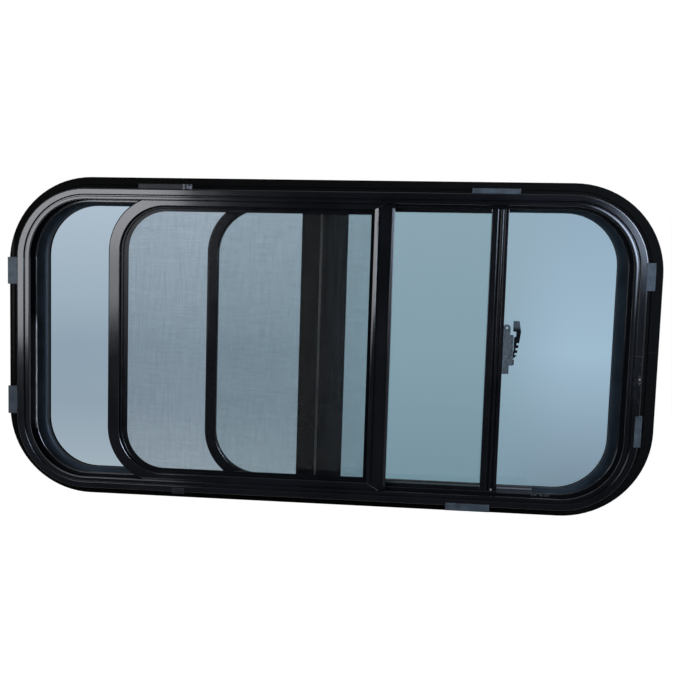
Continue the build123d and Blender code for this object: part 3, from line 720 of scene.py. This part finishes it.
def dark_flags():
    """Grey velvet round the viewer's side, darker above, which leaves the right side open to the white, under a
    grey ceiling."""
    velvet, tree, glow = glowing("grey_velvet")
    place = add(tree, "TexCoord").outputs["Object"]
    up = add(tree, "SeparateXYZ", {"Vector": place}).outputs["Z"]
    height = add(tree, "MapRange", {"Value": up, "From Min": FLAG_Z[0], "From Max": FLAG_DARK_Z})
    wire(tree, glow, {"Color": add(tree, "ValToRGB", {"Fac": height}, ((0.0, "#3c3f44"), (1.0, "#26282c")))})
    ceiling, tree, glow = glowing("grey_ceiling")
    wire(tree, glow, {"Color": srgb("#9a9da2")})
    (left, right), (front, back), (low, high) = FLAG_X, FLAG_Y, FLAG_Z
    gloss_sheet("front_flag", rectangle("Y", front, (left, low), (right, high)), velvet)
    gloss_sheet("left_flag", rectangle("X", left, (front, low), (back, high)), velvet)
    gloss_sheet("floor_flag", rectangle("Z", low, (left, front), (right, back)), velvet)
    gloss_sheet("ceiling_flag", rectangle("Z", high, (left, front), (-left, back)), ceiling)


def bright_panel(name, ends, heights, level):
    """A bright panel up on the right, which the frame's faces and rounded edges mirror."""
    material, tree, glow = glowing(name)
    place = add(tree, "TexCoord").outputs["Object"]
    up = add(tree, "SeparateXYZ", {"Vector": place}).outputs["Z"]
    low, full, high = heights
    strength = add(tree, "MapRange", {"Value": up, "From Min": low, "From Max": full, "To Max": level})
    wire(tree, glow, {"Color": srgb(PANEL_COLOUR), "Strength": strength})
    near, far = ends
    gloss_sheet(name, [(*near, low), (*far, low), (*far, high), (*near, high)], material)


def softbox(name, place, size, power, colour):
    """A rectangular soft light that faces along Y."""
    lamp = bpy.data.lights.new(name, "AREA")
    lamp.color = srgb(colour)[:3]
    lamp.shape = "RECTANGLE"
    lamp.size, lamp.size_y = size
    lamp.energy = power
    light = bpy.data.objects.new(name, lamp)
    light.location = place
    light.rotation_euler = DEEP.to_track_quat("-Z", "Y").to_euler()
    bpy.context.scene.collection.objects.link(light)


def white_surround():
    """White where it is seen, and a plain grey level where it only lights the window."""
    world = bpy.data.worlds.new("white_surround")
    world.use_nodes = True
    bpy.context.scene.world = world
    tree = world.node_tree
    strength = add(tree, "MapRange", {"Value": seen_rays(tree), "To Min": SURROUND_LIGHT, "To Max": 1.0})
    wire(tree, tree.nodes["Background"], {"Color": srgb("#ffffff"), "Strength": strength})


def camera():
    """The photograph's viewpoint."""
    place, aim = Vector(CAMERA_AT) * MM, Vector(CAMERA_AIM) * MM
    ahead = (aim - place).normalized()
    level = ahead.cross(UP).normalized()
    right = Matrix.Rotation(math.radians(CAMERA_ROLL), 3, -ahead) @ level
    lens = bpy.data.cameras.new("camera")
    lens.lens = CAMERA_LENS
    lens.sensor_width = CAMERA_SENSOR
    lens.shift_x, lens.shift_y = CAMERA_SHIFT
    viewer = bpy.data.objects.new("camera", lens)
    turn = Matrix((right, right.cross(ahead), -ahead)).transposed()
    viewer.matrix_world = Matrix.Translation(place) @ turn.to_4x4()
    bpy.context.scene.collection.objects.link(viewer)
    bpy.context.scene.camera = viewer


finishes = {
    "black_powder_coat": black_powder_coat(),
    "black_textured_coat": black_textured_coat(),
    "black_rubber": black_rubber(),
    "tinted_glass": tinted_glass(),
    "grey_pile": grey_pile(),
    "black_plastic": black_nylon(),
    "grey_plastic": grey_polypropylene("grey_polypropylene", "#293239", "#414c56", "#8a949d"),
    "white_nylon": natural_nylon(),
    "grey_metal": grey_zinc(),
    "fly_mesh": mesh_fibre(),
}
for part in frame["record"]["subparts"]:
    dress(part["node"], finishes[part["material_slot"]])

# Pieces whose finish has marks, painted highlights or painted shade of its own
mitred_coat = black_powder_coat("mitred_powder_coat", mitre_highlights())
dress("screen_bow", mitred_coat)
dress("screen_stile", mitred_coat)
dress("front_ring", black_powder_coat("scuffed_powder_coat", RING_MARKS))
dress("sash_bow", black_powder_coat("beaded_powder_coat", SASH_MARKS))
dress("sash_stile", black_powder_coat("chipped_powder_coat", STILE_MARKS))
dress("track_rib", painted_highlight_coat())
dress("centre_post", streaked_coat())
dress("rib_buffer", banded_polypropylene())
dress("screen_spline", black_vinyl())
# Much darker shades of the plastic for the top and bottom left tabs
dark_tab_shades = ("#0d0f12", "#171b20", "#2f363d")
# The lower left tab has a darker copy of the plastic, as painted shade against the stronger light of the left
# lamps
dress("tab_left_lower", grey_polypropylene("shaded_polypropylene", "#1f262e", "#303943", "#7c8690"))
dress("tab_bottom_left", grey_polypropylene("darker_polypropylene", *dark_tab_shades))
dress("tab_top_left", grey_polypropylene("smoked_polypropylene", *dark_tab_shades, HOOK_MARKS))

for width, starts in ROUNDED.items():
    for name in nodes:
        if name.startswith(starts):
            soften(name, width)

insect_mesh(finishes["fly_mesh"])
weather_pile(finishes["grey_pile"])
ridge_face(finishes["black_powder_coat"])

studio_floor()
backdrop_card()
dark_flags()
for name, (ends, heights, level) in PANELS.items():
    bright_panel(name, ends, heights, level)
for name, (place, size, power, colour) in LAMPS.items():
    softbox(name, place, size, power, colour)
white_surround()
camera()
bpy.context.scene.view_settings.view_transform = "Standard"
